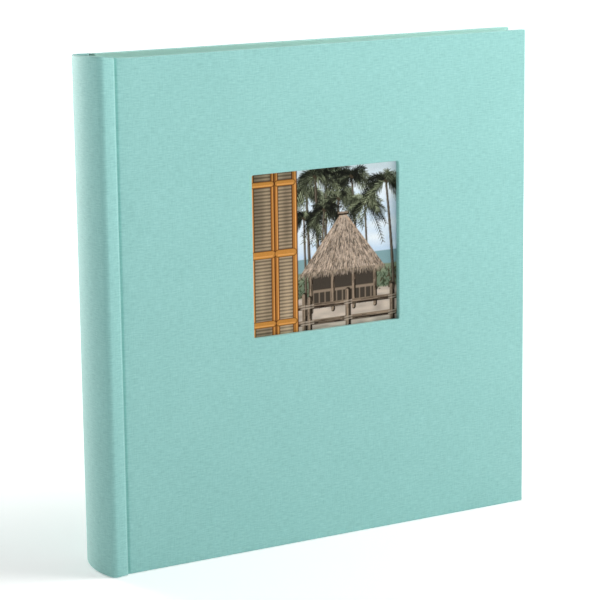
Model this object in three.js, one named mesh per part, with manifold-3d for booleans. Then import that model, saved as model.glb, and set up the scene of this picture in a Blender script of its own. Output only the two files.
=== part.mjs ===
// A case-bound photograph album in book cloth, closed and standing upright on its tail edge.
// Two cloth-covered boards hinge at the French grooves beside a rounded spine. A square
// window in the front cover shows a picture card. Inside are heavy album leaves with
// glassine sheets between them. Millimetres: +Z is up, the spine is at -X, the front
// cover faces -Y, and the origin is at the bottom centre of the closed album.
import * as THREE from 'three';
import { mergeVertices } from 'three/addons/utils/BufferGeometryUtils.js';
import Module from 'manifold-3d';

const wasm = await Module();
wasm.setup();

// Closed album.
const WIDTH = 300;            // spine to fore-edge
const HEIGHT = 310;           // tail to head
const HINGE_X = 14.5;         // groove centre, from the outside of the spine
const HINGE_HALF = 18.2;      // cover face to the middle plane, at the groove
const FORE_HALF = 11.5;       // cover face to the middle plane, at the fore-edge

// Rounded spine, as seen from above.
const SHOULDER_HALF = 20.8;   // crest of the shoulder to the middle plane
const CORNER_R = 3.8;
const CORNER_X = 6.8;         // centre of the corner rounding
const FLANGE_FALL = 10;       // degrees that the shoulder falls towards the groove
const FLANGE_LENGTH = 6.5;
const SPINE_BOARD = 2;

// Cloth and boards. Depths are counted inwards from the outside of a cover.
const CLOTH = 0.35;
const GLUE = 0.05;            // space between layers that are glued together
const TURN_IN = 15;           // cloth folded over onto the inside
const GROOVE_HALF = 0.6;      // half of the joint line between spine cloth and cover cloth
const BOARD_START = 1.5;      // inner edge of a board, from the groove centre
const FRONT_BOARD = 2.6;
const REAR_BOARD = 3;
const TURN_IN_CLOTH = 0.3;
const PASTEDOWN = 0.2;
const LINER = 1;

// Window in the front cover.
const WINDOW_WIDTH = 103;
const WINDOW_HEIGHT = 100.5;
const WINDOW_S = 139.7;       // window centre, from the groove centre
const WINDOW_Z = 184;
const WINDOW_FLANGE = 12;     // cloth folded back behind the board
const CARD_MARGIN = 6;        // picture card hidden behind each side of the window
const CARD = 0.4;

// Leaves.
const LEAVES = 20;
const LEAF = 0.4;
const GLASSINE = 0.06;
const FLYLEAF = 0.25;
const SQUARE = 4;             // the covers stand proud of the leaves by this much
const LEAF_START = HINGE_X + 1;
const LEAF_END = WIDTH - SQUARE;

const coverAngle = Math.atan((HINGE_HALF - FORE_HALF) / (WIDTH - HINGE_X));
const coverLength = (WIDTH - HINGE_X) / Math.cos(coverAngle);
const turnInDepth = CLOTH + FRONT_BOARD + 3 * GLUE;
const frontFlangeBack = turnInDepth + TURN_IN_CLOTH;
const linerDepth = frontFlangeBack + GLUE;
const frontPastedownDepth = linerDepth + LINER + GLUE;
const frontThickness = frontPastedownDepth + PASTEDOWN;
const rearTurnInDepth = CLOTH + REAR_BOARD + 2 * GLUE;
const rearPastedownDepth = rearTurnInDepth + TURN_IN_CLOTH + GLUE;
const rearThickness = rearPastedownDepth + PASTEDOWN;

const clothMaterial = { color: 0x9fd6cd, roughness: 0.85, metalness: 0 };
const boardMaterial = { color: 0xa39a8c, roughness: 0.9, metalness: 0 };
const paperMaterial = { color: 0xf4f1e8, roughness: 0.8, metalness: 0 };
const leafMaterial = { color: 0xf1ede0, roughness: 0.85, metalness: 0 };
const glassineMaterial = { color: 0xe9e7df, roughness: 0.45, metalness: 0 };
const pictureMaterial = { color: 0x8f8a6c, roughness: 0.35, metalness: 0 };
const liningMaterial = { color: 0xc9b892, roughness: 0.9, metalness: 0 };
const bandMaterial = { color: 0xf0efe9, roughness: 0.7, metalness: 0 };

const album = new THREE.Group();
album.position.x = -WIDTH / 2;

function addMesh(parent, name, geometry, material) {
  const mesh = new THREE.Mesh(geometry, new THREE.MeshStandardMaterial(material));
  mesh.name = name;
  parent.add(mesh);
  return mesh;
}

function box(x0, x1, y0, y1, z0, z1) {
  const geometry = new THREE.BoxGeometry(x1 - x0, Math.abs(y1 - y0), z1 - z0);
  geometry.translate((x0 + x1) / 2, (y0 + y1) / 2, (z0 + z1) / 2);
  return geometry;
}

function toSolid(geometry) {
  const bare = geometry.clone();
  bare.deleteAttribute('normal');
  bare.deleteAttribute('uv');
  const merged = mergeVertices(bare, 1e-5);
  return new wasm.Manifold(new wasm.Mesh({
    numProp: 3,
    vertProperties: new Float32Array(merged.attributes.position.array),
    triVerts: new Uint32Array(merged.index.array),
  }));
}

function toGeometry(solid) {
  const mesh = solid.getMesh();
  const geometry = new THREE.BufferGeometry();
  geometry.setAttribute('position', new THREE.BufferAttribute(mesh.vertProperties, 3));
  geometry.setIndex(new THREE.BufferAttribute(mesh.triVerts, 1));
  geometry.computeVertexNormals();
  return geometry;
}

function join(geometries) {
  let solid = toSolid(geometries[0]);
  for (const geometry of geometries.slice(1)) {
    solid = solid.add(toSolid(geometry));
  }
  return solid;
}

function cut(solid, geometries) {
  let result = solid;
  for (const geometry of geometries) {
    result = result.subtract(toSolid(geometry));
  }
  return result;
}

// The spine's outline from above, a distance inside the cloth's outer face: front flange,
// front corner, rounded back, rear corner, rear flange.
function spineOutline(depth, flangeLength) {
  const cornerY = SHOULDER_HALF - CORNER_R;
  const backR = (cornerY ** 2 + CORNER_X ** 2 - CORNER_R ** 2) / (2 * (CORNER_X - CORNER_R));
  const backAngle = Math.atan2(cornerY, backR - CORNER_X);
  const fall = THREE.MathUtils.degToRad(FLANGE_FALL);
  const cornerR = CORNER_R - depth;
  const half = [];
  const cornerSteps = 8;
  for (let i = 0; i <= cornerSteps; i++) {
    const angle = fall + (backAngle - Math.PI / 2 - fall) * (i / cornerSteps);
    half.push(new THREE.Vector2(
      CORNER_X + cornerR * Math.sin(angle),
      -cornerY - cornerR * Math.cos(angle),
    ));
  }
  const tip = half[0].clone();
  tip.x += flangeLength * Math.cos(fall);
  tip.y += flangeLength * Math.sin(fall);
  const backSteps = 16;
  const back = [];
  for (let i = 1; i < backSteps; i++) {
    const angle = backAngle * (1 - 2 * (i / backSteps));
    back.push(new THREE.Vector2(
      backR - (backR - depth) * Math.cos(angle),
      -(backR - depth) * Math.sin(angle),
    ));
  }
  const mirrored = [tip, ...half].map((point) => new THREE.Vector2(point.x, -point.y));
  return [tip, ...half, ...back, ...mirrored.reverse()];
}

// A strip that follows the spine between two depths.
function spineStrip(outerDepth, innerDepth, flangeLength, z0, z1) {
  const outer = spineOutline(outerDepth, flangeLength);
  const inner = spineOutline(innerDepth, flangeLength);
  const shape = new THREE.Shape([...outer, ...inner.reverse()]);
  const geometry = new THREE.ExtrudeGeometry(shape, { depth: z1 - z0, bevelEnabled: false });
  geometry.translate(0, 0, z0);
  return geometry;
}

// Spine of the case: board, and the cloth wrapped over its head and tail.
const boardDepth = CLOTH + GLUE;
const spineTurnIn = boardDepth + SPINE_BOARD + GLUE;
const spineInside = spineTurnIn + TURN_IN_CLOTH;
addMesh(album, 'spine_board', spineStrip(
  boardDepth,
  boardDepth + SPINE_BOARD,
  FLANGE_LENGTH - 0.4,
  boardDepth,
  HEIGHT - boardDepth,
), boardMaterial);
const spineCloth = join([
  spineStrip(0, CLOTH, FLANGE_LENGTH, 0, HEIGHT),
  spineStrip(0, spineInside, FLANGE_LENGTH, 0, CLOTH),
  spineStrip(spineTurnIn, spineInside, FLANGE_LENGTH, 0, TURN_IN),
  spineStrip(0, spineInside, FLANGE_LENGTH, HEIGHT - CLOTH, HEIGHT),
  spineStrip(spineTurnIn, spineInside, FLANGE_LENGTH, HEIGHT - TURN_IN, HEIGHT),
]);
addMesh(album, 'spine_cloth', toGeometry(spineCloth), clothMaterial);

// Back of the book block: guard strips, their lining, and the two bands.
const blockFront = -HINGE_HALF + frontThickness;
const blockRear = HINGE_HALF - rearThickness;
const blockBack = 5.5;
addMesh(album, 'guard_block', box(
  blockBack,
  LEAF_START - 0.4,
  blockFront,
  blockRear,
  SQUARE,
  HEIGHT - SQUARE,
), leafMaterial);
addMesh(album, 'spine_lining', box(
  blockBack - 0.5,
  blockBack - 0.1,
  blockFront,
  blockRear,
  12,
  HEIGHT - 12,
), liningMaterial);

const BEAD_R = 1.1;
function bandGeometry(edgeZ, outwards) {
  const circle = new THREE.Shape();
  circle.absarc(0, 0, BEAD_R, 0, 2 * Math.PI);
  const bead = new THREE.ExtrudeGeometry(circle, {
    depth: blockRear - blockFront,
    bevelEnabled: false,
    curveSegments: 10,
  });
  const beadZ = edgeZ + outwards * (BEAD_R + 0.1);
  bead.rotateX(-Math.PI / 2);
  bead.translate(blockBack + 0.4, blockFront, beadZ);
  const tapeEnd = edgeZ - outwards * 7;
  const tape = box(
    blockBack - 0.5,
    blockBack - 0.1,
    blockFront,
    blockRear,
    Math.min(tapeEnd, beadZ),
    Math.max(tapeEnd, beadZ),
  );
  return toGeometry(join([bead, tape]));
}
addMesh(album, 'head_band', bandGeometry(HEIGHT - SQUARE, 1), bandMaterial);
addMesh(album, 'tail_band', bandGeometry(SQUARE, -1), bandMaterial);

// Front cover. In its group x runs from the groove to the fore-edge, and y is the depth.
const front = new THREE.Group();
front.position.set(HINGE_X, -HINGE_HALF, 0);
front.rotation.z = coverAngle;
album.add(front);

function windowBox(margin, depth0, depth1) {
  const halfWidth = WINDOW_WIDTH / 2 + margin;
  const halfHeight = WINDOW_HEIGHT / 2 + margin;
  return box(
    WINDOW_S - halfWidth,
    WINDOW_S + halfWidth,
    depth0,
    depth1,
    WINDOW_Z - halfHeight,
    WINDOW_Z + halfHeight,
  );
}

const frontBoard = cut(
  toSolid(box(
    BOARD_START,
    coverLength - boardDepth,
    boardDepth,
    boardDepth + FRONT_BOARD,
    boardDepth,
    HEIGHT - boardDepth,
  )),
  [windowBox(boardDepth, -1, 5)],
);
addMesh(front, 'front_board', toGeometry(frontBoard), boardMaterial);

// Cover cloth: outer face, wrapped edges, and a turn-in on the three free sides.
function wrappedCloth(turnIn, side) {
  const back = side * (turnIn + TURN_IN_CLOTH);
  return cut(toSolid(box(GROOVE_HALF, coverLength, 0, back, 0, HEIGHT)), [
    box(-1, coverLength - CLOTH, side * CLOTH, side * turnIn, CLOTH, HEIGHT - CLOTH),
    box(-1, coverLength - TURN_IN, side * CLOTH, 2 * back, TURN_IN, HEIGHT - TURN_IN),
  ]);
}

const windowLining = cut(
  join([
    windowBox(CLOTH, 0, frontFlangeBack),
    windowBox(WINDOW_FLANGE, turnInDepth, frontFlangeBack),
  ]),
  [windowBox(0, -1, 5)],
);
const frontCloth = cut(wrappedCloth(turnInDepth, 1), [windowBox(0, -1, 1)]).add(windowLining);
addMesh(front, 'front_cloth', toGeometry(frontCloth), clothMaterial);

// Behind the window: picture card and its backing, held in a hole in the liner.
addMesh(
  front,
  'picture_card',
  windowBox(CARD_MARGIN, linerDepth, linerDepth + CARD),
  pictureMaterial,
);
addMesh(
  front,
  'picture_backing',
  windowBox(CARD_MARGIN, linerDepth + CARD + GLUE, linerDepth + LINER - GLUE),
  paperMaterial,
);
const frontLiner = cut(
  toSolid(box(2.5, coverLength - 8, linerDepth, linerDepth + LINER, 8, HEIGHT - 8)),
  [windowBox(CARD_MARGIN + 0.5, 0, 10)],
);
addMesh(front, 'front_liner', toGeometry(frontLiner), boardMaterial);
addMesh(front, 'front_pastedown', box(
  1,
  coverLength - SQUARE,
  frontPastedownDepth,
  frontThickness,
  SQUARE,
  HEIGHT - SQUARE,
), paperMaterial);

// Rear cover, mirrored: y is minus the depth.
const rear = new THREE.Group();
rear.position.set(HINGE_X, HINGE_HALF, 0);
rear.rotation.z = -coverAngle;
album.add(rear);

addMesh(rear, 'rear_board', box(
  BOARD_START,
  coverLength - boardDepth,
  -boardDepth,
  -boardDepth - REAR_BOARD,
  boardDepth,
  HEIGHT - boardDepth,
), boardMaterial);
addMesh(rear, 'rear_cloth', toGeometry(wrappedCloth(rearTurnInDepth, -1)), clothMaterial);
addMesh(rear, 'rear_pastedown', box(
  1,
  coverLength - SQUARE,
  -rearPastedownDepth,
  -rearThickness,
  SQUARE,
  HEIGHT - SQUARE,
), paperMaterial);

// Leaves, front to rear. They are spread by the guard strips at the spine and lie close
// together at the fore-edge, so each one stands at its own small angle.
const sheets = [{ name: 'front_flyleaf', thickness: FLYLEAF, material: paperMaterial }];
for (let i = 1; i <= LEAVES; i++) {
  const number = String(i).padStart(2, '0');
  sheets.push({ name: `leaf_${number}`, thickness: LEAF, material: leafMaterial });
  sheets.push({ name: `glassine_${number}`, thickness: GLASSINE, material: glassineMaterial });
}
sheets.push({ name: 'rear_flyleaf', thickness: FLYLEAF, material: paperMaterial });

// The free space between the two pastedowns at a distance from the spine.
function spaceAt(x) {
  const face = HINGE_HALF - (x - HINGE_X) * Math.tan(coverAngle);
  return {
    from: -face + frontThickness / Math.cos(coverAngle),
    to: face - rearThickness / Math.cos(coverAngle),
  };
}

const paper = sheets.reduce((sum, sheet) => sum + sheet.thickness, 0);
function spread(x) {
  const space = spaceAt(x);
  return { start: space.from, gap: (space.to - space.from - paper) / (sheets.length + 1) };
}

const atSpine = spread(LEAF_START);
const atForeEdge = spread(LEAF_END);
let below = 0;
sheets.forEach((sheet, i) => {
  const middle = below + sheet.thickness / 2;
  const y0 = atSpine.start + atSpine.gap * (i + 1) + middle;
  const y1 = atForeEdge.start + atForeEdge.gap * (i + 1) + middle;
  below += sheet.thickness;
  const run = LEAF_END - LEAF_START;
  const geometry = new THREE.BoxGeometry(
    Math.hypot(run, y1 - y0),
    sheet.thickness,
    HEIGHT - 2 * SQUARE,
  );
  const mesh = addMesh(album, sheet.name, geometry, sheet.material);
  mesh.position.set((LEAF_START + LEAF_END) / 2, (y0 + y1) / 2, HEIGHT / 2);
  mesh.rotation.z = Math.atan2(y1 - y0, run);
});

export default album;
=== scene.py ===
"""Looks for the bookbound photo album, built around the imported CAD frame. Metres."""
import math

import bmesh
import bpy
import numpy as np
from mathutils import Matrix, Vector


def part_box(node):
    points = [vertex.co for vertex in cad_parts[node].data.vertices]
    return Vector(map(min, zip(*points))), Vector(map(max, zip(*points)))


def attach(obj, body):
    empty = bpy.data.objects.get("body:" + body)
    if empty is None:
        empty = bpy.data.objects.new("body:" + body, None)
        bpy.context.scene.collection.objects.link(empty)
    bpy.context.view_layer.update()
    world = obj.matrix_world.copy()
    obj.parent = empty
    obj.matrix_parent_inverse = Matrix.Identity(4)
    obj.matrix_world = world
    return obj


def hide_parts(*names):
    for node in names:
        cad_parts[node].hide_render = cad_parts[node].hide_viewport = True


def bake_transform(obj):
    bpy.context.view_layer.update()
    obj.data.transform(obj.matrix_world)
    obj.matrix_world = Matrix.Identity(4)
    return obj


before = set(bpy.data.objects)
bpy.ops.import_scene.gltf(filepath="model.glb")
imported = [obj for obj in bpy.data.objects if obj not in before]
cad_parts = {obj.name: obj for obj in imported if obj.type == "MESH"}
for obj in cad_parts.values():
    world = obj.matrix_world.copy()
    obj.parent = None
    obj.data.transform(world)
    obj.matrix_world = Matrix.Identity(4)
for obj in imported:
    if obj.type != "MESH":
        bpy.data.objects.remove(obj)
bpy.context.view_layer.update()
MM = 0.001

# ---------------------------------------------------------------- sizes, as in the CAD, in mm
WIDTH, HEIGHT = 300.0, 310.0
HINGE_X, HINGE_HALF, FORE_HALF = 14.5, 18.2, 11.5
SHOULDER_HALF, CORNER_R, CORNER_X = 20.8, 3.8, 6.8
FLANGE_FALL = math.radians(10)
SPINE_INSIDE = 2.75
TURN_IN = 15.0
FRONT_BACK, REAR_BACK = 3.4, 3.75
WINDOW_S, WINDOW_Z, WINDOW_W, WINDOW_H = 139.7, 184.0, 103.0, 100.5
FLANGE = 12.0           # cloth glued down behind the window
PICTURE_DEPTH, PICTURE_W, PICTURE_H, PICTURE_THICK = 3.45, 115.0, 112.5, 0.4
SQUARE = 4.0            # how far the covers stand out past the leaves
BLOCK_BACK = 5.5
CLOTH_THICK = 0.33
FACE_INSET = 3.0        # a cover's flat grid ends this far from its edges and its window
GRID_SLACK = 0.01       # slack in comparing places on that grid
LEAVES = 20
ANGLE = math.atan((HINGE_HALF - FORE_HALF) / (WIDTH - HINGE_X))
LENGTH = (WIDTH - HINGE_X) / math.cos(ANGLE)


# ---------------------------------------------------------------- mesh helpers
def cover_point(side, s, depth, z):
    """A point of a cover, from its distance from the groove, its depth and its height.
    side is -1 for the front cover and 1 for the rear one."""
    x = HINGE_X + s * np.cos(ANGLE) - depth * np.sin(ANGLE)
    y = side * (HINGE_HALF - s * np.sin(ANGLE) - depth * np.cos(ANGLE))
    return np.stack(np.broadcast_arrays(x - WIDTH / 2, y, z), -1)


def make_object(name, points, faces, uv=None, smooth=True, merge=None):
    """points in mm, faces as tuples of indices, uv one pair in metres for each point."""
    mesh = bpy.data.meshes.new(name)
    mesh.from_pydata((np.asarray(points, float) * MM).tolist(), [], [tuple(f) for f in faces])
    if uv is not None:
        layer = mesh.uv_layers.new(name="Cloth")
        corners = np.zeros(len(mesh.loops), np.int32)
        mesh.loops.foreach_get("vertex_index", corners)
        uv_metres = np.asarray(uv, float)[corners] * MM
        layer.data.foreach_set("uv", uv_metres.astype(np.float32).ravel())
    mesh.polygons.foreach_set("use_smooth", [smooth] * len(mesh.polygons))
    mesh.validate()
    mesh.update()
    if merge:
        work = bmesh.new()
        work.from_mesh(mesh)
        bmesh.ops.remove_doubles(work, verts=work.verts, dist=merge * MM)
        bmesh.ops.recalc_face_normals(work, faces=work.faces)
        work.to_mesh(mesh)
        work.free()
    obj = bpy.data.objects.new(name, mesh)
    bpy.context.scene.collection.objects.link(obj)
    return obj


def grid_faces(rows, columns, offset=0, flip=False):
    """Quads of a grid of points stored row by row."""
    faces = []
    for i in range(rows - 1):
        for j in range(columns - 1):
            a = offset + i * columns + j
            quad = (a, a + 1, a + columns + 1, a + columns)
            faces.append(quad[::-1] if flip else quad)
    return faces


def smooth_curve(knots, x):
    """A smooth curve through the knots (x, y), flat outside them."""
    kx, ky = np.array(knots, float).T
    slopes = np.gradient(ky, kx)
    slopes[0] = slopes[-1] = 0.0
    x = np.clip(np.asarray(x, float), kx[0], kx[-1])
    i = np.clip(np.searchsorted(kx, x) - 1, 0, len(kx) - 2)
    h = kx[i + 1] - kx[i]
    t = (x - kx[i]) / h
    return ((2 * t**3 - 3 * t**2 + 1) * ky[i] + (t**3 - 2 * t**2 + t) * h * slopes[i]
            + (3 * t**2 - 2 * t**3) * ky[i + 1] + (t**3 - t**2) * h * slopes[i + 1])


def add_thickness(obj, thickness):
    """Gives an open sheet its real thickness, in mm, on the inner side of its face."""
    modifier = obj.modifiers.new("thickness", "SOLIDIFY")
    modifier.thickness = thickness * MM
    modifier.offset = -1
    modifier.use_even_offset = False
    evaluated = obj.evaluated_get(bpy.context.evaluated_depsgraph_get())
    made = bpy.data.meshes.new_from_object(evaluated)
    obj.modifiers.clear()
    old = obj.data
    obj.data = made
    bpy.data.meshes.remove(old)


# ---------------------------------------------------------------- materials
def new_material(name):
    material = bpy.data.materials.new(name)
    material.use_nodes = True
    tree = material.node_tree
    shader = tree.nodes["Principled BSDF"]
    return material, tree, shader


def node(tree, kind, inputs=None, **settings):
    made = tree.nodes.new(kind)
    for key, value in settings.items():
        setattr(made, key, value)
    for key, value in (inputs or {}).items():
        socket = made.inputs[key]
        if isinstance(value, bpy.types.NodeSocket):
            tree.links.new(value, socket)
        else:
            socket.default_value = value
    return made


def math_node(tree, operation, a, b=0.0, clamp=False):
    made = node(tree, "ShaderNodeMath", {0: a, 1: b}, operation=operation, use_clamp=clamp)
    return made.outputs[0]


def mix_colour(tree, factor, a, b, blend="MIX"):
    made = node(tree, "ShaderNodeMix", data_type="RGBA", blend_type=blend)
    for socket, value in ((made.inputs[0], factor), (made.inputs[6], a), (made.inputs[7], b)):
        if isinstance(value, bpy.types.NodeSocket):
            tree.links.new(value, socket)
        else:
            socket.default_value = value
    return made.outputs[2]


def noise(tree, vector, scale, detail=2.0, roughness=0.5, stretch=None):
    if stretch is not None:
        vector = node(tree, "ShaderNodeMapping", {"Vector": vector, "Scale": stretch}).outputs[0]
    made = node(tree, "ShaderNodeTexNoise",
                {"Vector": vector, "Scale": scale, "Detail": detail, "Roughness": roughness})
    return made.outputs["Fac"]


def level(tree, value, low, high):
    """value, clamped and stretched so that 0.25 goes to low and 0.75 to high."""
    return node(tree, "ShaderNodeMapRange",
                {"Value": value, "From Min": 0.25, "From Max": 0.75, "To Min": low, "To Max": high},
                clamp=True).outputs[0]


CLOTH_COLOUR = (0.305, 0.620, 0.585, 1)
CLOTH_DARK = (0.240, 0.520, 0.490, 1)
CLOTH_LIGHT = (0.375, 0.700, 0.665, 1)
CLOTH_WORN = (0.50, 0.72, 0.68, 1)
# painted light: the paler colour given to the inside of the head turn-in
CLOTH_INSIDE_PAINTED_LIGHT = (0.54, 0.92, 0.82, 1)
PAINTED_LIGHT_V = (0.3118, 0.3135)     # painted light: the cloth inside the head turn-in is made paler from here up, in m
THREAD_PITCH = 0.00062


def cloth_material():
    """Plain-woven linen book cloth: threads both ways, slubs, and paler wear at the edges.
    The cloth inside the head turn-in is painted paler too, as painted light."""
    material, tree, shader = new_material("book_cloth_weave")
    uv = node(tree, "ShaderNodeUVMap", uv_map="Cloth").outputs["UV"]
    split = node(tree, "ShaderNodeSeparateXYZ", {0: uv})
    u, v = split.outputs[0], split.outputs[1]
    wobble = noise(tree, uv, 90.0, 2.0)
    turns = 2 * math.pi / THREAD_PITCH
    warp, weft = (math_node(tree, "SINE", math_node(
        tree, "ADD", math_node(tree, "MULTIPLY", along, turns),
        math_node(tree, "MULTIPLY", wobble, 5.0))) for along in (u, v))
    weave = math_node(tree, "MULTIPLY", warp, weft)
    slub_h = noise(tree, uv, 1.0, 3.0, 0.65, stretch=(190.0, 1500.0, 1.0))
    slub_v = noise(tree, uv, 1.0, 3.0, 0.65, stretch=(1400.0, 190.0, 1.0))
    patch = noise(tree, uv, 26.0, 3.0, 0.6)
    tone = math_node(tree, "ADD", level(tree, slub_h, -1.15, 1.15),
                     level(tree, slub_v, -0.65, 0.65))
    tone = math_node(tree, "ADD", tone, math_node(tree, "MULTIPLY", weave, 0.22))
    tone = math_node(tree, "ADD", tone, level(tree, patch, -0.18, 0.18))
    light = math_node(tree, "MULTIPLY", tone, 0.75, clamp=True)
    dark = math_node(tree, "MULTIPLY", tone, -0.75, clamp=True)
    colour = mix_colour(tree, light, CLOTH_COLOUR, CLOTH_LIGHT)
    colour = mix_colour(tree, dark, colour, CLOTH_DARK)
    geometry = node(tree, "ShaderNodeNewGeometry")
    edge = node(tree, "ShaderNodeMapRange",
                {"Value": geometry.outputs["Pointiness"], "From Min": 0.52, "From Max": 0.60,
                 "To Min": 0.0, "To Max": 0.12}, clamp=True).outputs[0]
    colour = mix_colour(tree, edge, colour, CLOTH_WORN)
    # painted light: the inside of the head turn-in is mixed towards a much paler cloth colour
    inside = node(tree, "ShaderNodeMapRange",
                  {"Value": v, "From Min": PAINTED_LIGHT_V[0], "From Max": PAINTED_LIGHT_V[1],
                   "To Min": 0.0, "To Max": 0.6}, clamp=True).outputs[0]
    colour = mix_colour(tree, inside, colour, CLOTH_INSIDE_PAINTED_LIGHT)
    tree.links.new(colour, shader.inputs["Base Color"])
    roughness = node(tree, "ShaderNodeMapRange",
                     {"Value": slub_h, "To Min": 0.55, "To Max": 0.75}).outputs[0]
    tree.links.new(roughness, shader.inputs["Roughness"])
    shader.inputs["Sheen Weight"].default_value = 0.25
    shader.inputs["Sheen Roughness"].default_value = 0.4
    shader.inputs["Specular IOR Level"].default_value = 0.5
    height = math_node(tree, "ADD", math_node(tree, "MULTIPLY", weave, 0.5),
                       math_node(tree, "ADD", slub_h, slub_v))
    bump = node(tree, "ShaderNodeBump", {"Height": height, "Strength": 0.35, "Distance": 0.00012})
    tree.links.new(bump.outputs[0], shader.inputs["Normal"])
    return material


def paper_material(name, colour, fibre, roughness, scale=900.0):
    """Paper or card: cloudy tone, fine fibres and a slight tooth."""
    material, tree, shader = new_material(name)
    place = node(tree, "ShaderNodeTexCoord").outputs["Object"]
    cloud = noise(tree, place, 18.0, 3.0)
    fibres = noise(tree, place, scale, 4.0, 0.7)
    tone = math_node(tree, "ADD", level(tree, cloud, 0.0, 0.5), level(tree, fibres, 0.0, 0.5))
    darker = tuple(c * (1 - 2.2 * fibre) for c in colour) + (1,)
    mixed = mix_colour(tree, tone, darker, tuple(colour) + (1,))
    tree.links.new(mixed, shader.inputs["Base Color"])
    rough = node(tree, "ShaderNodeMapRange", {"Value": fibres, "To Min": roughness - 0.08,
                                              "To Max": min(1.0, roughness + 0.08)}).outputs[0]
    tree.links.new(rough, shader.inputs["Roughness"])
    shader.inputs["Specular IOR Level"].default_value = 0.3
    bump = node(tree, "ShaderNodeBump", {"Height": fibres, "Strength": 0.15, "Distance": 0.0001})
    tree.links.new(bump.outputs[0], shader.inputs["Normal"])
    return material


def glassine_material():
    """Thin crackle-embossed interleaving sheet."""
    material, tree, shader = new_material("glassine_crackle")
    place = node(tree, "ShaderNodeTexCoord").outputs["Object"]
    bent = noise(tree, place, 60.0, 2.0)
    where = node(tree, "ShaderNodeVectorMath", {0: place, 1: (0.004, 0.004, 0.004)},
                 operation="ADD").outputs[0]
    cracks = node(tree, "ShaderNodeTexVoronoi", {"Vector": where, "Scale": 85.0},
                  feature="DISTANCE_TO_EDGE").outputs["Distance"]
    line = node(tree, "ShaderNodeMapRange", {"Value": cracks, "From Min": 0.0, "From Max": 0.06,
                                             "To Min": 1.0, "To Max": 0.0}, clamp=True).outputs[0]
    colour = mix_colour(tree, math_node(tree, "MULTIPLY", line, 0.5), (0.80, 0.79, 0.74, 1),
                        (0.90, 0.90, 0.87, 1))
    tree.links.new(colour, shader.inputs["Base Color"])
    rough = node(tree, "ShaderNodeMapRange",
                 {"Value": bent, "To Min": 0.3, "To Max": 0.5}).outputs[0]
    tree.links.new(rough, shader.inputs["Roughness"])
    bump = node(tree, "ShaderNodeBump", {"Height": line, "Strength": 0.3, "Distance": 0.0001})
    tree.links.new(bump.outputs[0], shader.inputs["Normal"])
    return material


def band_material():
    """Woven head band: slanting threads in two tones."""
    material, tree, shader = new_material("head_band_threads")
    place = node(tree, "ShaderNodeTexCoord").outputs["Object"]
    split = node(tree, "ShaderNodeSeparateXYZ", {0: place})
    slant = math_node(tree, "ADD", split.outputs[1],
                      math_node(tree, "MULTIPLY", split.outputs[0], 0.5))
    wave = math_node(tree, "SINE", math_node(tree, "MULTIPLY", slant, 2 * math.pi / 0.0014))
    factor = math_node(tree, "MULTIPLY_ADD", wave, 2.0, clamp=True)
    colour = mix_colour(tree, factor, (0.86, 0.87, 0.84, 1), (0.30, 0.60, 0.57, 1))
    tree.links.new(colour, shader.inputs["Base Color"])
    shader.inputs["Roughness"].default_value = 0.7
    threads = math_node(tree, "SINE", math_node(tree, "MULTIPLY", slant, 2 * math.pi / 0.00035))
    bump = node(tree, "ShaderNodeBump", {"Height": threads, "Strength": 0.4, "Distance": 0.0001})
    tree.links.new(bump.outputs[0], shader.inputs["Normal"])
    return material


def print_material():
    """Satin photographic print: colours kept with the card's points, with fine grain."""
    material, tree, shader = new_material("picture_print")
    painted = node(tree, "ShaderNodeAttribute", attribute_name="print").outputs["Color"]
    place = node(tree, "ShaderNodeTexCoord").outputs["Object"]
    grain = noise(tree, place, 2600.0, 2.0, 0.7)
    speck = node(tree, "ShaderNodeMapRange",
                 {"Value": grain, "To Min": 0.92, "To Max": 1.08}).outputs[0]
    colour = node(tree, "ShaderNodeVectorMath", {0: painted, "Scale": speck},
                  operation="SCALE").outputs[0]
    tree.links.new(colour, shader.inputs["Base Color"])
    shader.inputs["Roughness"].default_value = 0.5
    shader.inputs["Specular IOR Level"].default_value = 0.06
    bump = node(tree, "ShaderNodeBump", {"Height": grain, "Strength": 0.03, "Distance": 0.0001})
    tree.links.new(bump.outputs[0], shader.inputs["Normal"])
    return material


CLOTH_MAT = cloth_material()
BOARD_MAT = paper_material("grey_board", (0.36, 0.33, 0.29), 0.08, 0.9, 500.0)
ENDPAPER_MAT = paper_material("endpaper", (0.80, 0.78, 0.72), 0.02, 0.8)
LEAF_MAT = paper_material("album_card", (0.83, 0.80, 0.72), 0.03, 0.85)
KRAFT_MAT = paper_material("kraft_lining", (0.58, 0.43, 0.26), 0.08, 0.85)
GLASSINE_MAT = glassine_material()
BAND_MAT = band_material()
PRINT_MAT = print_material()


def paint(obj, material):
    obj.data.materials.clear()
    obj.data.materials.append(material)


# ---------------------------------------------------------------- covers in cloth
def edge_profile(back):
    """(inset, depth) round the edge of a cover, from its face to the end of the turn-in."""
    front_r, back_r = 0.6, 0.5
    profile = [(FACE_INSET, 0.0), (1.8, 0.0)]
    for i in range(7):
        turn = math.pi / 2 * i / 6
        profile.append((front_r * (1 - math.sin(turn)), front_r * (1 - math.cos(turn))))
    profile.append((0.0, back / 2))
    for i in range(5):
        turn = math.pi / 2 * i / 4
        profile.append((back_r * (1 - math.cos(turn)), back - back_r * (1 - math.sin(turn))))
    profile += [(2.0, back), (8.0, back), (TURN_IN, back)]
    return profile


def window_profile(back):
    """(outset, depth) into the window, from the cover's face to the end of the inner flange."""
    lip = 0.55
    profile = [(FACE_INSET, 0.0), (1.2, 0.0)]
    for i in range(6):
        turn = math.pi / 2 * i / 5
        profile.append((lip * (1 - math.sin(turn)), lip * (1 - math.cos(turn))))
    profile += [(0.0, back / 2), (0.0, back - 0.3), (0.3, back), (6.0, back), (FLANGE, back)]
    return profile


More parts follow.
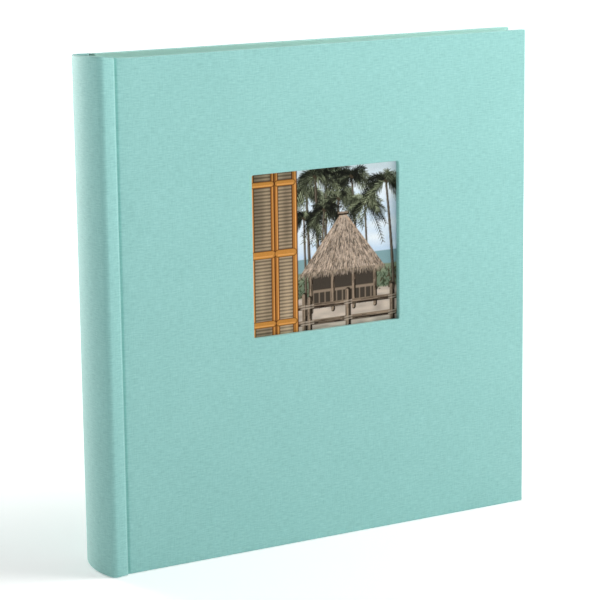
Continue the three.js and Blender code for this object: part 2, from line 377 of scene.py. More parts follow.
# Cloth in the groove: depth below the cover's face, from the shoulder to the board.
GROOVE = [(-0.9, -1.40), (-0.7, -1.22), (-0.45, -0.35), (-0.2, 0.45), (0.15, 0.80), (0.6, 0.68),
          (1.1, 0.34), (1.7, 0.08), (2.6, 0.0)]
SEAM_S, GROOVE_END = GROOVE[0][0], GROOVE[-1][0]
WRAP_FROM, WRAP_OVER, WRAP_LEAST = 0.2, 1.6, 0.25
# The cloth stands higher at the head of the front groove, and most at the front of the
# spine's head. HEAD_RISE goes by the distance round the spine from its front seam.
SEAM_RISE, SEAM_RISE_WIDE, SEAM_RISE_TALL = 0.9, 9.0, 12.0
HEAD_RISE_TALL = 60.0
HEAD_RISE = [(0, SEAM_RISE), (4, 1.5), (9, 1.9), (20, 1.8), (30, 1.0), (42, 0.3), (55, 0.0)]


def groove_depth(s):
    return smooth_curve(GROOVE, s)


def wrap_share(s):
    """How much of the board's thickness the cloth goes round: little beside the groove."""
    t = np.clip((np.asarray(s, float) - WRAP_FROM) / WRAP_OVER, 0, 1)
    return WRAP_LEAST + (1 - WRAP_LEAST) * t * t * (3 - 2 * t)


def spread_between(a, b, n):
    return list(np.linspace(a, b, n + 1))[:-1]


def groove_rise(side, s, z):
    """How much the cloth of the front cover rises at the head of its groove, in mm, where it
    meets the higher cloth of the spine."""
    if side > 0:
        return 0.0
    share = max(1 - s / SEAM_RISE_WIDE, 0.0) ** 2
    return SEAM_RISE * share * max(1 - (HEIGHT - z) / SEAM_RISE_TALL, 0.0)


def cover_cloth(name, side, back, window):
    """One piece of cloth over a cover, from the groove round the three free edges."""
    inset, near = FACE_INSET, GRID_SLACK
    s_list = [k[0] for k in GROOVE[:-1]]
    s_list = sorted(s_list + [(a + b) / 2 for a, b in zip(s_list, s_list[1:])])
    z0, z1 = WINDOW_Z - WINDOW_H / 2 - inset, WINDOW_Z + WINDOW_H / 2 + inset
    w0, w1 = WINDOW_S - WINDOW_W / 2 - inset, WINDOW_S + WINDOW_W / 2 + inset
    s_list += spread_between(GROOVE_END, w0, 12) + spread_between(w0, w1, 16)
    s_list += spread_between(w1, LENGTH - inset, 14) + [LENGTH - inset]
    z_list = spread_between(inset, z0, 20) + spread_between(z0, z1, 16)
    z_list += spread_between(z1, HEIGHT - inset, 12) + [HEIGHT - inset]
    s_list, z_list = np.array(s_list), np.array(z_list)
    ns, nz = len(s_list), len(z_list)
    points, uvs, faces = [], [], []

    def add(s, depth, z, u, v):
        share = wrap_share(s)
        lift = groove_depth(s)
        points.append(cover_point(side, s, lift + depth * share, z + groove_rise(side, s, z)))
        uvs.append((u, v))
        return len(points) - 1

    face = np.array([[add(s, 0.0, z, s, z) for z in z_list] for s in s_list])
    for i in range(ns - 1):
        for j in range(nz - 1):
            inside = (w0 - near < s_list[i] < w1 - near
                      and z0 - near < z_list[j] < z1 - near)
            if window and inside:
                continue
            faces.append((face[i, j], face[i + 1, j], face[i + 1, j + 1], face[i, j + 1]))

    # The three free edges: bottom from the groove, fore-edge upwards, top back to the groove.
    corner_turns = [math.pi / 2 * c / 5 for c in range(6)]
    previous = None
    travelled = 0.0
    profile = edge_profile(back)
    for k, (gap, depth) in enumerate(profile):
        if k:
            travelled += math.dist(profile[k - 1], profile[k])
        r = max(0.5 - 0.25 * gap, 0.0)      # rounding of the cover's corners
        loop = []
        for s in s_list[:-1]:
            loop.append(add(s, depth, gap, s, inset - travelled))
        for turn in corner_turns:
            s = LENGTH - gap - r + r * math.sin(turn)
            z = gap + r - r * math.cos(turn)
            loop.append(add(s, depth, z, s + travelled * math.sin(turn),
                            z - travelled * math.cos(turn)))
        for z in z_list[1:-1]:
            loop.append(add(LENGTH - gap, depth, z, LENGTH - inset + travelled, z))
        for turn in corner_turns:
            s = LENGTH - gap - r + r * math.cos(turn)
            z = HEIGHT - gap - r + r * math.sin(turn)
            loop.append(add(s, depth, z, s + travelled * math.cos(turn),
                            z + travelled * math.sin(turn)))
        for s in s_list[:-1][::-1]:
            loop.append(add(s, depth, HEIGHT - gap, s, HEIGHT - inset + travelled))
        if previous:
            for a, b, c, d in zip(previous, previous[1:], loop[1:], loop):
                faces.append((a, b, c, d))
        previous = loop

    if window:
        previous = None
        travelled = 0.0
        profile = window_profile(back)
        s_in = [s for s in s_list if w0 - near < s < w1 + near]
        z_in = [z for z in z_list if z0 - near < z < z1 + near]
        for k, (gap, depth) in enumerate(profile):
            if k:
                travelled += math.dist(profile[k - 1], profile[k])
            half_w, half_h = WINDOW_W / 2 + gap, WINDOW_H / 2 + gap
            r = 1.1 if 0 < k < len(profile) - 2 else 0.0    # rounding of the corners
            loop = []

            def fit(value, low, high, centre, half):
                t = (value - low) / (high - low)
                return centre - half + r + t * 2 * (half - r)

            for q, (cs, cz) in enumerate(((-1, -1), (1, -1), (1, 1), (-1, 1))):
                for c in range(4):
                    turn = math.pi + math.pi / 2 * q + math.pi / 2 * c / 3
                    s = WINDOW_S + cs * (half_w - r) + r * math.cos(turn)
                    z = WINDOW_Z + cz * (half_h - r) + r * math.sin(turn)
                    loop.append(add(s, depth, z, s - cs * travelled, z - cz * travelled))
                if q == 0:
                    run = [(fit(s, w0, w1, WINDOW_S, half_w), WINDOW_Z - half_h)
                           for s in s_in[1:-1]]
                elif q == 1:
                    run = [(WINDOW_S + half_w, fit(z, z0, z1, WINDOW_Z, half_h))
                           for z in z_in[1:-1]]
                elif q == 2:
                    run = [(fit(s, w0, w1, WINDOW_S, half_w), WINDOW_Z + half_h)
                           for s in s_in[1:-1][::-1]]
                else:
                    run = [(WINDOW_S - half_w, fit(z, z0, z1, WINDOW_Z, half_h))
                           for z in z_in[1:-1][::-1]]
                du = (0, -1, 0, 1)[q] * travelled
                dv = (1, 0, -1, 0)[q] * travelled
                for s, z in run:
                    loop.append(add(s, depth, z, s + du, z + dv))
            if previous:
                for i in range(len(loop)):
                    j = (i + 1) % len(loop)
                    faces.append((previous[i], previous[j], loop[j], loop[i]))
            previous = loop

    if side > 0:
        faces = [f[::-1] for f in faces]
    obj = make_object(name, points, faces, uvs, merge=0.02)
    paint(obj, CLOTH_MAT)
    return obj


front_cloth = cover_cloth("front_cover_cloth", -1, FRONT_BACK, True)
rear_cloth = cover_cloth("rear_cover_cloth", 1, REAR_BACK, False)


# ---------------------------------------------------------------- spine in cloth
def spine_outline():
    """Points along the spine's outer face from the front seam to the rear seam, and the
    inward direction at each."""
    corner_y = SHOULDER_HALF - CORNER_R
    back_r = (corner_y**2 + CORNER_X**2 - CORNER_R**2) / (2 * (CORNER_X - CORNER_R))
    back_angle = math.atan2(corner_y, back_r - CORNER_X)
    points, inward = [], []
    seam = cover_point(-1, SEAM_S, groove_depth(SEAM_S), 0.0)
    tip = np.array([seam[0] + WIDTH / 2, seam[1]])
    start = np.array([CORNER_X + CORNER_R * math.sin(FLANGE_FALL),
                      -corner_y - CORNER_R * math.cos(FLANGE_FALL)])
    for t in np.linspace(0, 1, 7)[:-1]:
        droop = -0.35 * t * (1 - t)
        points.append(tip + (start - tip) * t + np.array([0.0, droop]))
        inward.append((-math.sin(FLANGE_FALL) * t, 1.0))
    for t in np.linspace(0, 1, 12)[:-1]:
        angle = FLANGE_FALL + (back_angle - math.pi / 2 - FLANGE_FALL) * t
        points.append(np.array([CORNER_X + CORNER_R * math.sin(angle),
                                -corner_y - CORNER_R * math.cos(angle)]))
        inward.append((-math.sin(angle), math.cos(angle)))
    for t in np.linspace(0, 1, 14):
        angle = back_angle * (1 - t)
        points.append(np.array([back_r - back_r * math.cos(angle), -back_r * math.sin(angle)]))
        inward.append((math.cos(angle), math.sin(angle)))
    points = np.array(points)
    inward = np.array(inward)
    inward /= np.linalg.norm(inward, axis=1)[:, None]
    mirror = np.array([1, -1])
    points = np.vstack([points, points[-2::-1] * mirror])
    inward = np.vstack([inward, inward[-2::-1] * mirror])
    return points, inward


TAIL_SECTIONS = 12      # sections of the tail turn-in, before the spine's outer face


def spine_sections():
    """(depth, z) from the end of the tail turn-in, over the tail, up the spine and over
    the head."""
    r = 1.0
    half = [(SPINE_INSIDE, TURN_IN), (SPINE_INSIDE, r)]
    for i in range(1, 5):
        turn = math.pi / 2 * i / 4
        half.append((SPINE_INSIDE - r * (1 - math.cos(turn)), r * (1 - math.sin(turn))))
    for i in range(0, 6):
        turn = math.pi / 2 * i / 5
        half.append((r * (1 - math.sin(turn)), r * (1 - math.cos(turn))))
    rise = [(0.0, z) for z in np.linspace(3.0, HEIGHT - 3.0, 24)]
    return half + rise + [(d, HEIGHT - z) for d, z in half[::-1]]


def spine_cloth_piece():
    outline, inward = spine_outline()
    along = np.concatenate([[0], np.cumsum(np.linalg.norm(np.diff(outline, axis=0), axis=1))])
    along += SEAM_S - along[-1] / 2
    sections = spine_sections()
    climb = [0.0]
    for a, b in zip(sections, sections[1:]):
        climb.append(climb[-1] + math.dist(a, b))
    start = climb[TAIL_SECTIONS]
    points, uvs = [], []
    for (depth, z), v in zip(sections, climb):
        near_head = np.clip((z - HEIGHT + HEAD_RISE_TALL) / HEAD_RISE_TALL, 0, 1)**2
        for p, n, u in zip(outline, inward, along):
            at = p + n * depth
            rise = near_head * smooth_curve(HEAD_RISE, u - along[0])
            points.append((at[0] - WIDTH / 2, at[1], z + rise))
            uvs.append((-u, v - start))
    faces = grid_faces(len(sections), len(outline), flip=True)
    obj = make_object("spine_wrap_cloth", points, faces, uvs)
    paint(obj, CLOTH_MAT)
    return obj


spine_cloth = spine_cloth_piece()
for piece in (front_cloth, rear_cloth, spine_cloth):
    add_thickness(piece, CLOTH_THICK)

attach(spine_cloth, "spine_and_block")
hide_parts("spine_cloth")
for obj, side, body, cad in ((front_cloth, -1, "front_cover", "front_cloth"),
                             (rear_cloth, 1, "rear_cover", "rear_cloth")):
    start = Vector(cover_point(side, SEAM_S + 0.1, 0.0, 0.0) * MM)
    end = Vector(cover_point(side, 1.7, 0.0, 0.0) * MM)
    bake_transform(obj)
    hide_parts(cad)


# ---------------------------------------------------------------- picture
class Canvas:
    """A small painted picture. Places are shares of the visible window, from its lower left."""

    def __init__(self, n):
        self.across = (np.linspace(-PICTURE_W, PICTURE_W, n) / WINDOW_W + 1) / 2
        self.up = (np.linspace(-PICTURE_H, PICTURE_H, n) / WINDOW_H + 1) / 2
        self.x, self.y = np.meshgrid(self.across, self.up, indexing="ij")
        self.image = np.zeros((n, n, 3))
        self.soft = 0.7 * (self.across[1] - self.across[0])
        self.random = np.random.default_rng(5)

    def noise(self, cells_x, cells_y):
        """Smooth value noise from 0 to 1, with a given number of cells each way."""
        values = self.random.random((cells_x + 2, cells_y + 2))
        fx = (self.across - self.across[0]) / np.ptp(self.across) * cells_x
        fy = (self.up - self.up[0]) / np.ptp(self.up) * cells_y
        ix, iy = fx.astype(int), fy.astype(int)
        tx, ty = fx - ix, fy - iy
        tx, ty = (tx * tx * (3 - 2 * tx))[:, None], (ty * ty * (3 - 2 * ty))[None]
        a, b = values[ix][:, iy], values[ix + 1][:, iy]
        c, d = values[ix][:, iy + 1], values[ix + 1][:, iy + 1]
        return (a * (1 - tx) + b * tx) * (1 - ty) + (c * (1 - tx) + d * tx) * ty

    def fill(self, cover, colour):
        cover = np.clip(cover, 0, 1)[..., None]
        self.image = self.image * (1 - cover) + np.asarray(colour) * cover

    def inside(self, corners):
        """Cover of a convex polygon given anticlockwise."""
        cover = np.ones_like(self.x)
        for (ax, ay), (bx, by) in zip(corners, corners[1:] + corners[:1]):
            long = math.hypot(bx - ax, by - ay)
            side = ((bx - ax) * (self.y - ay) - (by - ay) * (self.x - ax)) / long
            cover = np.minimum(cover, np.clip(side / self.soft + 0.5, 0, 1))
        return cover

    def stroke(self, a, b, wide_a, wide_b, colour, strength=1.0):
        """A tapered line from a to b."""
        pad = max(wide_a, wide_b) + 2 * self.soft
        i0, i1 = np.searchsorted(self.across, (min(a[0], b[0]) - pad, max(a[0], b[0]) + pad))
        j0, j1 = np.searchsorted(self.up, (min(a[1], b[1]) - pad, max(a[1], b[1]) + pad))
        if i0 >= i1 or j0 >= j1:
            return
        x, y = self.x[i0:i1, j0:j1], self.y[i0:i1, j0:j1]
        dx, dy = b[0] - a[0], b[1] - a[1]
        t = np.clip(((x - a[0]) * dx + (y - a[1]) * dy) / (dx * dx + dy * dy + 1e-12), 0, 1)
        away = np.hypot(x - a[0] - t * dx, y - a[1] - t * dy)
        half = (wide_a + (wide_b - wide_a) * t) / 2
        cover = (np.clip((half - away) / self.soft + 0.5, 0, 1) * strength)[..., None]
        part = self.image[i0:i1, j0:j1]
        self.image[i0:i1, j0:j1] = part * (1 - cover) + np.asarray(colour) * cover

    def path(self, points, wide_a, wide_b, colour, strength=1.0):
        n = len(points) - 1
        for i in range(n):
            w0, w1 = (wide_a + (wide_b - wide_a) * k / n for k in (i, i + 1))
            self.stroke(points[i], points[i + 1], w0, w1, colour, strength)

    def log(self, a, b, wide, light, dark):
        """A round rail or post, with a lit upper side and cracks along it."""
        self.stroke(a, b, wide, wide, dark)
        length = math.hypot(b[0] - a[0], b[1] - a[1])
        nx, ny = -(b[1] - a[1]) / length, (b[0] - a[0]) / length
        if ny < 0 or (abs(ny) < 0.3 and nx > 0):
            nx, ny = -nx, -ny
        for k, share in ((0.22, 0.55), (0.12, 0.3)):
            off = wide * k
            self.stroke((a[0] + nx * off, a[1] + ny * off), (b[0] + nx * off, b[1] + ny * off),
                        wide * share, wide * share, light, 0.75)
        for _ in range(int(60 * length) + 3):
            t, off = self.random.random(), (self.random.random() - 0.5) * wide * 0.8
            t2 = min(1.0, t + 0.25 * self.random.random() + 0.03)
            tone = light if self.random.random() > 0.6 else dark
            start, end = ((a[0] + (b[0] - a[0]) * at + nx * off,
                           a[1] + (b[1] - a[1]) * at + ny * off) for at in (t, t2))
            self.stroke(start, end, 0.004, 0.002, np.asarray(tone) * 0.8, 0.6)

    def palm(self, x, y, size, tilt, base_x, fronds=21):
        """A crown of drooping fronds on a thin trunk, which starts in the grass."""
        trunk = [(base_x + (x - base_x) * (t**1.4), 0.2 + (y - 0.2) * t)
                 for t in np.linspace(0, 1, 9)]
        self.path(trunk, 0.024 * size / 0.2, 0.015 * size / 0.2, (0.105, 0.08, 0.058))
        self.path([(px - 0.003, py) for px, py in trunk], 0.006, 0.004, (0.30, 0.25, 0.19), 0.7)
        for k in range(fronds):
            turn = math.pi * (k + 0.5) / fronds * 1.36 - 0.56 + tilt + 0.1 * self.random.normal()
            reach = size * (0.75 + 0.35 * self.random.random())
            dx, dy = math.cos(turn), math.sin(turn)
            droop = reach * (0.45 + 0.75 * self.random.random())
            spine = [(x + dx * reach * t, y + dy * reach * t * 0.9 - droop * t * t)
                     for t in np.linspace(0, 1, 9)]
            tone = self.random.random()
            green = np.array([0.090, 0.100, 0.062]) * (0.22 + 2.3 * tone ** 3)
            self.path(spine, 0.006, 0.003, green * 1.3)
            for t in np.linspace(0.12, 1.0, 17):
                i = min(int(t * 8), 7)
                f = t * 8 - i
                px = spine[i][0] * (1 - f) + spine[i + 1][0] * f
                py = spine[i][1] * (1 - f) + spine[i + 1][1] * f
                sx, sy = spine[i + 1][0] - spine[i][0], spine[i + 1][1] - spine[i][1]
                run = math.hypot(sx, sy) + 1e-9
                sx, sy = sx / run, sy / run
                long = size * 0.21 * (1.15 - 0.75 * abs(t - 0.45))
                long *= 0.8 + 0.4 * self.random.random()
                for side in (-1, 1):
                    qx = px + (sx * 0.55 - sy * side * 0.75) * long
                    qy = py + (sy * 0.55 + sx * side * 0.75) * long - 0.35 * long
                    shade = green * (0.5 + 1.6 * self.random.random() ** 2)
                    self.stroke((px, py), (qx, qy), 0.0062, 0.002, shade, 0.85)
        self.stroke((x - 0.006, y), (x + 0.006, y - 0.01), 0.018, 0.014, (0.10, 0.075, 0.045))


def paint_print(n):
    """A made-up holiday view: a slatted shutter, palms, a thatched beach hut and a log fence."""
    art = Canvas(n)
    y, random = art.y, art.random
    # sky, paler above, with thin cloud
    cloud = art.noise(5, 9) * 0.6 + art.noise(11, 23) * 0.4
    sky = np.clip((y - 0.4) / 0.6, 0, 1)[..., None]
    art.image[:] = np.array([0.56, 0.69, 0.83]) * (1 - sky) + np.array([0.78, 0.85, 0.90]) * sky
    art.fill(np.clip((cloud - 0.42) * 2.6, 0, 1) * 0.8, (0.90, 0.93, 0.94))
    # sea, then grass, then sand
    art.fill(np.clip((0.445 - y) / 0.004, 0, 1), (0.23, 0.36, 0.38))
    art.fill(np.clip((0.36 + 0.012 * art.noise(30, 2) - y) / 0.01, 0, 1), (0.24, 0.29, 0.19))
    art.fill(np.clip((0.31 - y) / 0.01, 0, 1), (0.185, 0.235, 0.155))
    sand = art.noise(18, 60)[..., None]
    art.fill(np.clip((0.20 + 0.03 * art.noise(9, 2) - y) / 0.012, 0, 1),
             np.array([0.52, 0.44, 0.37]) * (0.72 + 0.55 * sand))
    for _ in range(420):
        px, py = 0.3 + 0.8 * random.random(), 0.20 + 0.13 * random.random()
        tip = (px + 0.012 * random.normal(), py + 0.03 * random.random())
        tuft = (0.13, 0.055, 0.035) if random.random() > 0.7 else (0.07, 0.09, 0.05)
        art.stroke((px, py), tip, 0.008, 0.002, tuft, 0.8)
    # palms, far ones first
    for px, py, size, tilt, base in ((0.38, 0.84, 0.19, 0.1, 0.40), (0.52, 0.97, 0.21, -0.1, 0.50),
                                     (0.69, 0.93, 0.18, 0.0, 0.73), (0.44, 0.95, 0.20, 0.0, 0.46),
                                     (0.60, 0.80, 0.17, 0.1, 0.58), (0.36, 0.70, 0.15, 0.0, 0.37),
                                     (0.50, 0.74, 0.14, 0.1, 0.47), (0.78, 0.76, 0.15, -0.1, 0.80),
                                     (0.93, 0.88, 0.19, 0.05, 0.98)):
        art.palm(px, py, size, tilt, base)
    # beach hut: a shaded inside, posts, and a pointed roof whose straws lie down the slope
    light, dark = (0.38, 0.285, 0.205), (0.06, 0.042, 0.03)
    peak_x, peak_y, eave_y, eave_0, eave_1 = 0.63, 0.70, 0.345, 0.33, 0.92
    art.fill(art.inside([(0.40, 0.13), (0.85, 0.13), (0.85, 0.37), (0.40, 0.37)]),
             (0.10, 0.08, 0.062))
    for k in range(11):
        px = 0.42 + 0.04 * k
        art.stroke((px, 0.13), (px, 0.235), 0.008, 0.008, (0.27, 0.205, 0.15))
    art.stroke((0.40, 0.235), (0.85, 0.235), 0.016, 0.016, (0.30, 0.23, 0.17))
    for px in (0.405, 0.555, 0.70, 0.85):
        art.log((px, 0.11), (px, 0.36), 0.026, light, dark)
    straw = art.noise(160, 60) * 0.55 + art.noise(70, 150) * 0.45
    tint = (straw[..., None] - 0.5) * 0.62
    roof = [(eave_0, eave_y), (eave_1, eave_y), (peak_x + 0.02, peak_y), (peak_x - 0.02, peak_y)]
    art.fill(art.inside(roof), np.array([0.42, 0.315, 0.235]) * (1 + tint * 1.9))
    for _ in range(2600):
        px, down = eave_0 + (eave_1 - eave_0) * random.random(), random.random() ** 0.6
        px = peak_x + (px - peak_x) * down
        py = peak_y + (eave_y - peak_y) * down
        dx, dy = px - peak_x, py - peak_y - 0.03
        run = (0.014 + 0.022 * random.random()) / math.hypot(dx, dy)
        tone = 0.05 + 0.78 * random.random() ** 1.6
        art.stroke((px, py), (px + dx * run, py + dy * run), 0.0045, 0.002,
                   (tone, tone * 0.80, tone * 0.64), 0.7)
    for k in range(90):
        px = eave_0 + (eave_1 - eave_0) * k / 89
        tip = (px + 0.006 * random.normal(), eave_y - 0.012 - 0.024 * random.random())
        art.stroke((px, eave_y + 0.008), tip, 0.006, 0.002,
                   np.array([0.30, 0.235, 0.175]) * (0.4 + random.random()), 0.9)
    art.log((peak_x - 0.03, peak_y + 0.004), (peak_x + 0.03, peak_y + 0.004), 0.022, light, dark)
    # level log fence in front
    for height in (0.145, 0.045):
        art.log((0.30, height), (1.14, height), 0.032, light, dark)
    for px, wide in ((0.36, 0.036), (0.395, 0.030), (0.66, 0.038), (0.97, 0.036)):
        art.log((px, -0.1), (px, 0.20 + 0.02 * math.sin(40 * px)), wide, light, dark)
        for height in (0.145, 0.045):
            for k in range(3):
                low = height - 0.010 + 0.008 * k
                cord = (0.22, 0.17, 0.13) if k % 2 else (0.44, 0.37, 0.30)
                art.stroke((px - 0.026, low), (px + 0.026, low + 0.004), 0.006, 0.006, cord, 0.85)
    # an open shutter: slatted panels in a warm wooden frame
    slat = 0.5 + 0.5 * np.sin(2 * math.pi * y * 47)
    fold = art.noise(26, 3)[..., None]
    base = np.array([0.36, 0.275, 0.185]) * (0.55 + 0.7 * fold)
    art.fill(art.inside([(-0.1, -0.1), (0.29, -0.1), (0.29, 1.1), (-0.1, 1.1)]),
             base * (0.55 + 0.6 * slat[..., None]) * (0.85 + 0.35 * (1 - y[..., None])))
    wood, edge, glow = (0.46, 0.19, 0.055), (0.17, 0.06, 0.02), (0.80, 0.40, 0.14)
    for px, wide in ((0.012, 0.026), (0.150, 0.018), (0.176, 0.020), (0.298, 0.030)):
        art.stroke((px, -0.1), (px, 1.1), wide + 0.010, wide + 0.008, edge)
        art.stroke((px, -0.1), (px, 1.1), wide, wide * 0.8, wood)
        lit = px + wide * 0.22
        art.stroke((lit, -0.1), (lit, 1.1), wide * 0.3, wide * 0.25, glow, 0.85)
    for height, wide in ((0.50, 0.040), (0.93, 0.030), (0.07, 0.034)):
        for px0, px1 in ((0.02, 0.145), (0.185, 0.288)):
            art.stroke((px0, height), (px1, height), wide + 0.008, wide + 0.008, edge)
            art.stroke((px0, height), (px1, height), wide, wide, (0.55, 0.25, 0.07))
            lit = height - wide * 0.25
            art.stroke((px0, lit), (px1, lit), 0.008, 0.008, glow, 0.7)
    # fine grain, deeper shadows and slightly stronger colours
    art.image *= (1 + 0.10 * (random.random((n, n, 1)) - 0.5))
    tone = art.image.mean(2, keepdims=True)
    art.image = tone + 1.08 * (art.image - tone)
    art.image *= np.minimum(tone / 0.30, 1) ** 0.45
    return np.clip(art.image, 0.003, 0.95)


PRINT_STEPS = 300       # squares of the printed card's grid, each way


def picture_piece():
    """The printed card: a fine grid whose points carry the picture's colours, with a plain
    edge and back."""
    n = PRINT_STEPS
    s, z = np.meshgrid(np.linspace(-PICTURE_W / 2, PICTURE_W / 2, n + 1),
                       np.linspace(-PICTURE_H / 2, PICTURE_H / 2, n + 1), indexing="ij")
    front = cover_point(-1, WINDOW_S + s, np.full_like(s, PICTURE_DEPTH),
                        WINDOW_Z + z).reshape(-1, 3)
    faces = grid_faces(n + 1, n + 1)
    rim = ([i * (n + 1) for i in range(n + 1)] + [n * (n + 1) + j for j in range(1, n + 1)]
           + [i * (n + 1) + n for i in range(n - 1, -1, -1)] + list(range(n - 1, 0, -1)))
    back = cover_point(-1, WINDOW_S + s, np.full_like(s, PICTURE_DEPTH + PICTURE_THICK),
                       WINDOW_Z + z).reshape(-1, 3)[rim]
    offset = len(front)
    points = np.vstack([front, back])
    m = len(rim)
    for i in range(m):
        j = (i + 1) % m
        faces.append((rim[j], rim[i], offset + i, offset + j))
    faces.append(tuple(offset + i for i in range(m)))
    obj = make_object("picture_print", points, faces, smooth=False)
    colours = np.ones((len(points), 4), np.float32)
    colours[:offset, :3] = paint_print(n + 1).reshape(-1, 3)
    colours[offset:, :3] = 0.8
    layer = obj.data.attributes.new("print", "FLOAT_COLOR", "POINT")
    layer.data.foreach_set("color", colours.ravel())
    paint(obj, PRINT_MAT)
    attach(obj, "front_cover")
    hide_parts("picture_card")


picture_piece()


# ---------------------------------------------------------------- leaves
def slab(name, path, normal, thickness, z0, z1, material):
    """A closed upright sheet that follows a path seen from above."""
    n = len(path)
    points = []
    for side in (-0.5, 0.5):
        for z in (z0, z1):
            for p in path:
                x, y = p + normal * side * thickness
                points.append((x, y, z))
    layer = 2 * n
    faces = grid_faces(2, n) + grid_faces(2, n, offset=layer, flip=True)
    for j, flip in ((0, True), (n - 1, False)):
        quad = (j, n + j, n + j + layer, j + layer)
        faces.append(quad[::-1] if flip else quad)
    for first, flip in ((0, True), (n, False)):
        for a in range(first, first + n - 1):
            quad = (a, a + 1, a + 1 + layer, a + layer)
            faces.append(quad[::-1] if flip else quad)
    obj = make_object(name, points, faces, smooth=False, merge=0.001)
    paint(obj, material)
    return obj


def sheet_ends(cad_node):
    """Middle line of a CAD sheet from above, in mm: inner end, outer end, thickness."""
    co = np.array([v.co[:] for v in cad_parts[cad_node].data.vertices]) / MM
    inner = co[co[:, 0] < co[:, 0].mean()][:, :2]
    outer = co[co[:, 0] > co[:, 0].mean()][:, :2]
    a, b = inner.mean(0), outer.mean(0)
    along = (b - a) / np.linalg.norm(b - a)
    across = np.array([-along[1], along[0]])
    thickness = np.ptp(inner @ across)
    return a, b, thickness


BEND = 42.0     # the part of a leaf that flexes, from its guard


def leaf_piece(cad_node, material):
    """A sheet in place of its CAD node, from the back of the block to its outer edge."""
    a, b, thickness = sheet_ends(cad_node)
    root = np.array([BLOCK_BACK + 0.6 - WIDTH / 2, a[1]])
    path = [root]
    xs = np.concatenate([np.linspace(a[0] - 0.4, a[0] + BEND, 27),
                         np.linspace(a[0] + BEND, b[0], 8)[1:]])
    for x in xs:
        t = np.clip((x - a[0]) / (b[0] - a[0]), 0, 1)
        path.append(np.array([x, a[1] + (b[1] - a[1]) * t]))
    along = (b - a) / np.linalg.norm(b - a)
    normal = np.array([-along[1], along[0]])
    obj = slab(cad_node + "_sheet", path, normal, thickness, SQUARE, HEIGHT - SQUARE, material)
    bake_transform(obj)
    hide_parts(cad_node)
    return obj


sheet_nodes = ["front_flyleaf"]
for i in range(1, LEAVES + 1):
    sheet_nodes += [f"leaf_{i:02d}", f"glassine_{i:02d}"]
sheet_nodes.append("rear_flyleaf")
for name in sheet_nodes:
    if "flyleaf" in name:
        material, slot_name = ENDPAPER_MAT, "endpaper"
    elif name.startswith("leaf"):
        material, slot_name = LEAF_MAT, "album_card"
    else:
        material, slot_name = GLASSINE_MAT, "glassine"
    leaf_piece(name, material)


def guard_piece():
    """The guard strips between the leaves at the back of the block, as one glued piece."""
    ends = [sheet_ends(n) for n in sheet_nodes]
    low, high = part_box("guard_block")
    gaps = []
    edge = low[1] / MM
    for a, _, thickness in ends:
        gaps.append((edge, a[1] - thickness / 2))
        edge = a[1] + thickness / 2
    gaps.append((edge, high[1] / MM))
    points, faces = [], []
    x0, x1 = low[0] / MM, high[0] / MM
    z0, z1 = low[2] / MM, high[2] / MM
    box_faces = ((0, 1, 3, 2), (4, 6, 7, 5), (0, 4, 5, 1), (2, 3, 7, 6), (0, 2, 6, 4), (1, 5, 7, 3))
    spare, short = 0.02, 0.3        # how far a strip stays inside its gap and the block
    for i, (y0, y1) in enumerate(gaps):
        slip = 0.25 * math.sin(i * 2.4)     # the strips' ends are slightly uneven
        corners = [(x, y, z) for x in (x0, x1) for y in (y0 + spare, y1 - spare)
                   for z in (z0 + short + slip, z1 - short + slip)]
        base = len(points)
        points += corners
        faces += [tuple(base + k for k in f) for f in box_faces]
    obj = make_object("guard_strips", points, faces, smooth=False)
    work = bmesh.new()
    work.from_mesh(obj.data)
    bmesh.ops.recalc_face_normals(work, faces=work.faces)
    work.to_mesh(obj.data)
    work.free()
    paint(obj, LEAF_MAT)
    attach(obj, "spine_and_block")
    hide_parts("guard_block")


guard_piece()

for cad_node, material in (("front_board", BOARD_MAT), ("rear_board", BOARD_MAT),
                           ("spine_board", BOARD_MAT), ("front_liner", BOARD_MAT),
                           ("picture_backing", ENDPAPER_MAT), ("front_pastedown", ENDPAPER_MAT),
                           ("rear_pastedown", ENDPAPER_MAT), ("spine_lining", KRAFT_MAT),
                           ("head_band", BAND_MAT), ("tail_band", BAND_MAT)):
    paint(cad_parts[cad_node], material)

# ---------------------------------------------------------------- studio
bpy.context.scene.view_settings.view_transform = "Standard"

FLOOR = 12      # half of the floor's width
floor_mesh = bpy.data.meshes.new("studio_floor")
floor_mesh.from_pydata([(-FLOOR, -FLOOR, 0), (FLOOR, -FLOOR, 0), (FLOOR, FLOOR, 0),
                        (-FLOOR, FLOOR, 0)], [], [(0, 1, 2, 3)])
floor = bpy.data.objects.new("studio_floor", floor_mesh)
floor.location.z = -0.0002
bpy.context.scene.collection.objects.link(floor)
floor_mat, floor_tree, floor_shader = new_material("pale_floor")
floor_shader.inputs["Base Color"].default_value = (0.92, 0.92, 0.92, 1)
floor_shader.inputs["Roughness"].default_value = 0.9
floor_shader.inputs["Specular IOR Level"].default_value = 0.1
floor_shader.inputs["Emission Color"].default_value = (0.88, 0.99, 1, 1)
# The floor gives off more light with distance: a white background, little light on the album.
place = node(floor_tree, "ShaderNodeTexCoord").outputs["Object"]
away = node(floor_tree, "ShaderNodeVectorMath", {0: place}, operation="LENGTH").outputs["Value"]
glow = node(floor_tree, "ShaderNodeMapRange",
            {"Value": away, "From Min": 0.35, "From Max": 1.2, "To Min": 0.2, "To Max": 0.9},
            clamp=True).outputs[0]
floor_tree.links.new(glow, floor_shader.inputs["Emission Strength"])
floor.data.materials.append(floor_mat)

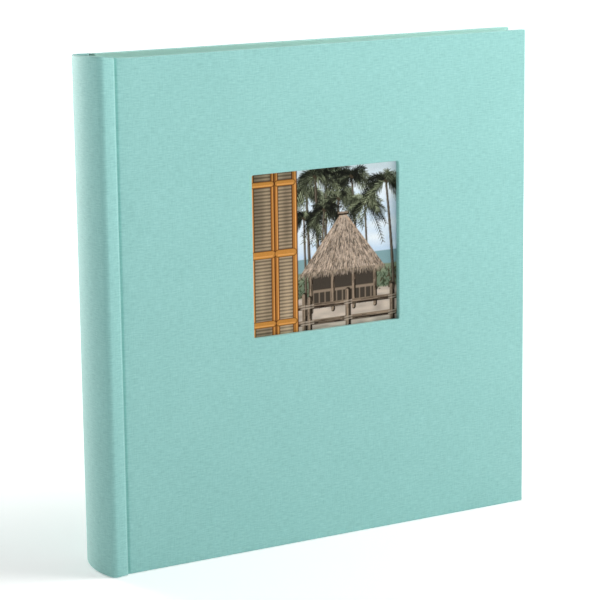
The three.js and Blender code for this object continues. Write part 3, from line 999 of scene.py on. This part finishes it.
world = bpy.data.worlds.new("studio")
bpy.context.scene.world = world
world.use_nodes = True
sky = world.node_tree
background = sky.nodes["Background"]
background.inputs["Color"].default_value = (1, 1, 1, 1)
way = node(sky, "ShaderNodeSeparateXYZ", {0: node(sky, "ShaderNodeTexCoord").outputs["Generated"]})
up = math_node(sky, "POWER", math_node(sky, "MAXIMUM", way.outputs[2], 0.0), 3.0)
sky.links.new(up, background.inputs["Strength"])

LIGHT_TARGET = (-0.02, 0, 0.15)


def softbox(name, place, size, power, colour=(1, 1, 1)):
    """A rectangular area light aimed at the album, with its power in watts."""
    data = bpy.data.lights.new(name, "AREA")
    data.shape = "RECTANGLE"
    data.size, data.size_y = size
    data.energy = power
    data.color = colour
    obj = bpy.data.objects.new(name, data)
    obj.location = place
    aim = Vector(LIGHT_TARGET) - Vector(place)
    obj.rotation_euler = aim.to_track_quat("-Z", "Y").to_euler()
    bpy.context.scene.collection.objects.link(obj)


softbox("key", (0.7, -0.45, 1.1), (0.5, 0.5), 7.6)
softbox("key_low", (0.9, -0.35, 0.8), (0.5, 0.5), 3.8, (1.0, 0.92, 0.90))
softbox("right", (1.6, -1.3, 0.8), (1.2, 1.2), 4.5, (0.92, 0.98, 1.0))
softbox("back", (-0.55, 1.75, 0.6), (0.7, 1.0), 26.5, (1.0, 0.96, 0.92))
softbox("rim", (-0.95, 1.45, 0.55), (0.5, 1.0), 2.0, (1.0, 0.92, 0.86))

# ---------------------------------------------------------------- camera
camera_data = bpy.data.cameras.new("camera")
camera = bpy.data.objects.new("camera", camera_data)
bpy.context.scene.collection.objects.link(camera)
IMAGE, SENSOR = 600, 36                     # width in pixels and in mm
FOCAL, SHIFT = 2312.5, (0.3, -45.0)         # in pixels
CAMERA_AT = (-508.6, -1238.1, 458.1)        # in mm, from the spine's back at the tail
CAMERA_TURN = (10.896, -27.743, -3.419)     # rotation vector, in degrees
camera_data.sensor_width = SENSOR
camera_data.lens = SENSOR * FOCAL / IMAGE
camera_data.shift_x = -SHIFT[0] / IMAGE
camera_data.shift_y = SHIFT[1] / IMAGE
spin = np.radians(CAMERA_TURN)
spin_angle = float(np.linalg.norm(spin))
level_camera = Matrix(((1, 0, 0), (0, 0, -1), (0, 1, 0)))
world_to_camera = Matrix.Rotation(spin_angle, 3, Vector(spin / spin_angle)) @ level_camera
right, down, forward = (Vector(world_to_camera[i]) for i in range(3))
pose = Matrix((right, -down, -forward)).transposed().to_4x4()
pose.translation = Vector(((CAMERA_AT[0] - WIDTH / 2) * MM, CAMERA_AT[1] * MM, CAMERA_AT[2] * MM))
camera.matrix_world = pose
camera_data.clip_start, camera_data.clip_end = 0.05, 50
bpy.context.scene.camera = camera
